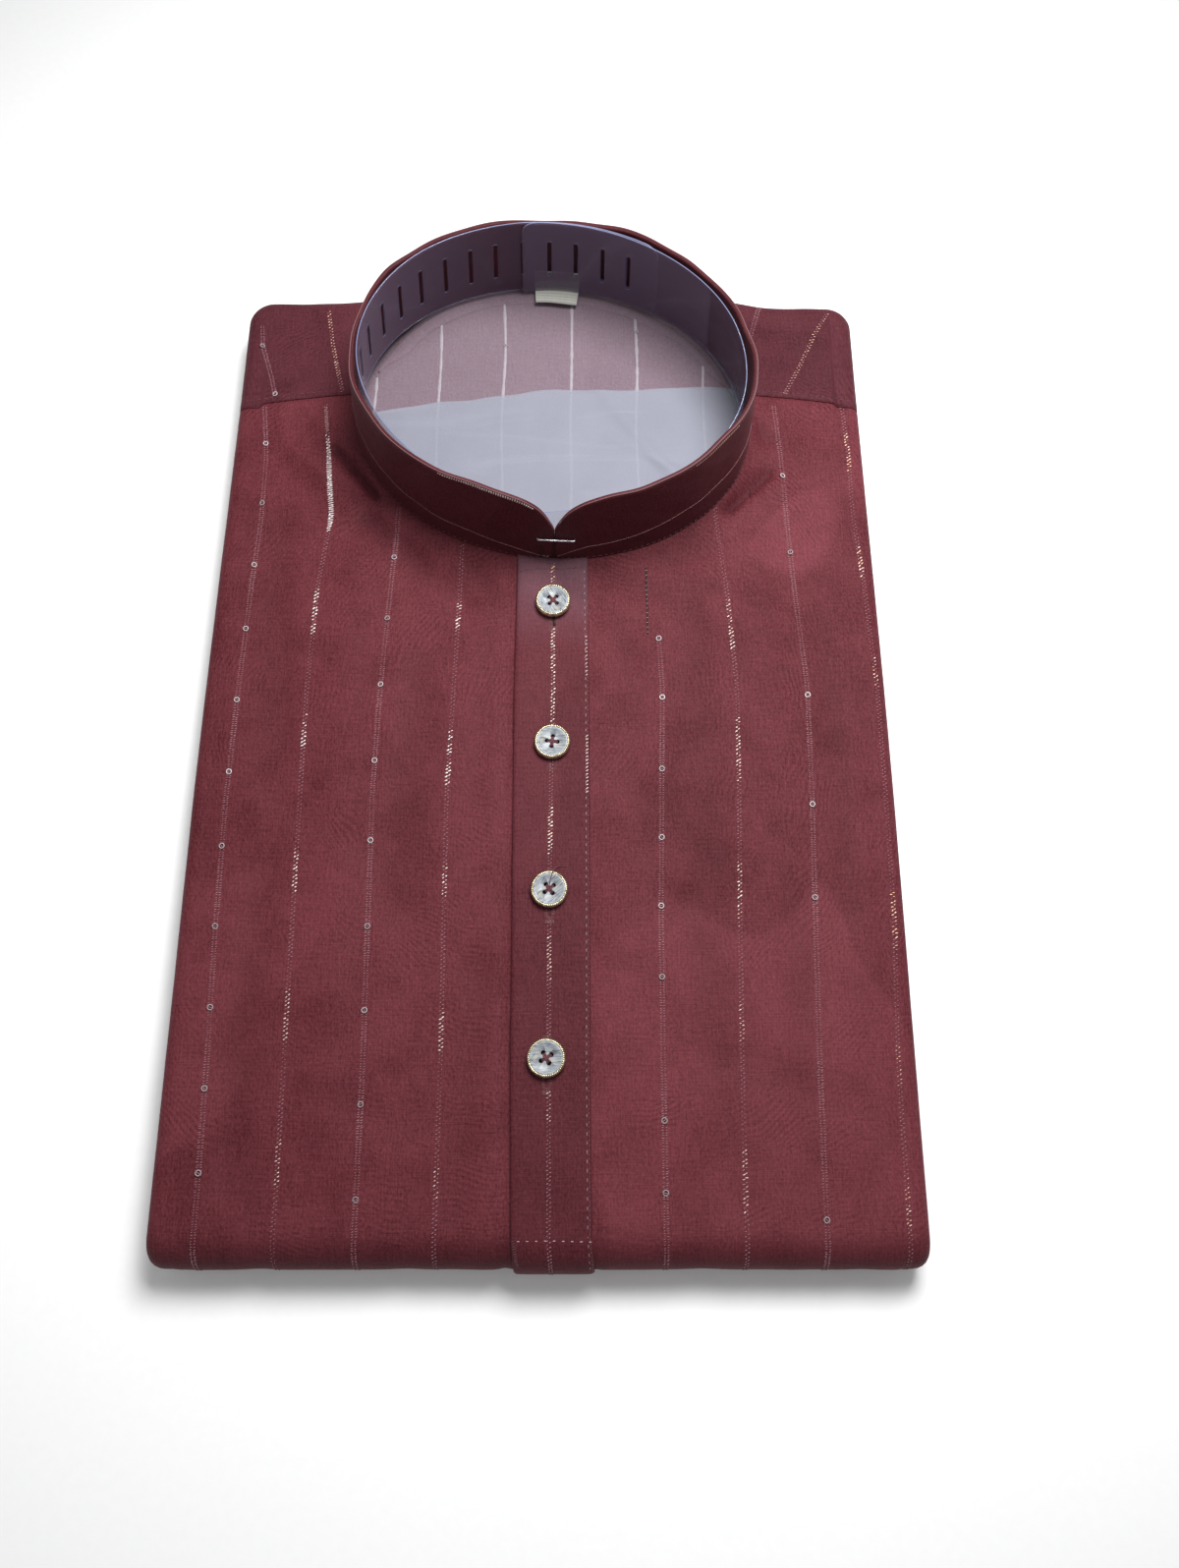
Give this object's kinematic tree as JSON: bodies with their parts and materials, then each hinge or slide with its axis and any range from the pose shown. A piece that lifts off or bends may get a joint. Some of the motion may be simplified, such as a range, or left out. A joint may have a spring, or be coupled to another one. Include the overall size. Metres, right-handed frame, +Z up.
{
  "type": "folded kurta tunic with a clear collar band",
  "caption": "Kurta tunic folded flat into a rectangular pack, its stand collar held open as an upright ring by a clear plastic collar band.",
  "frame": {"origin": "centre of the pack's bounding box, on the surface that the pack rests on", "axes": "+X across the pack to the right as seen from above with the collar far away, +Y from the bottom fold towards the shoulders and collar, +Z up out of the front of the pack"},
  "size_m": [0.2466, 0.3735, 0.0633],
  "materials": {
    "front_cloth": "matte maroon cotton silk with a soft sheen, metallic stripes and a tone-on-tone self pattern",
    "yoke_cloth": "the same cloth as the front",
    "collar_cloth": "the same cloth, darker, stiffened, with a woven stripe along it",
    "placket_cloth": "the same cloth, with a stripe down its middle and stitched edges",
    "folded_cloth": "edges of the folded cloth",
    "back_inside": "paler wrong side of the cloth",
    "neck_strip": "paler wrong side of the cloth",
    "label_ribbon": "plain cream woven ribbon, bare",
    "button_shell": "pearly grey shell face with a ridged gold rim",
    "clear_band": "clear flexible plastic, glossy, faint blue edge",
    "packing_film": "thin milky packing film",
    "pin_steel": "thin steel wire"
  },
  "bodies": {
    "root": {"front": "front_cloth", "yoke": "yoke_cloth", "collar": "collar_cloth", "placket": "placket_cloth", "folded_layers": "folded_cloth", "back": "back_inside", "neck_strip": "neck_strip", "neck_label": "label_ribbon", "button_1": "button_shell", "button_2": "button_shell", "button_3": "button_shell", "button_4": "button_shell", "collar_band": "clear_band", "packing_film": "packing_film", "collar_pin": "pin_steel"}
  },
  "joints": []
}
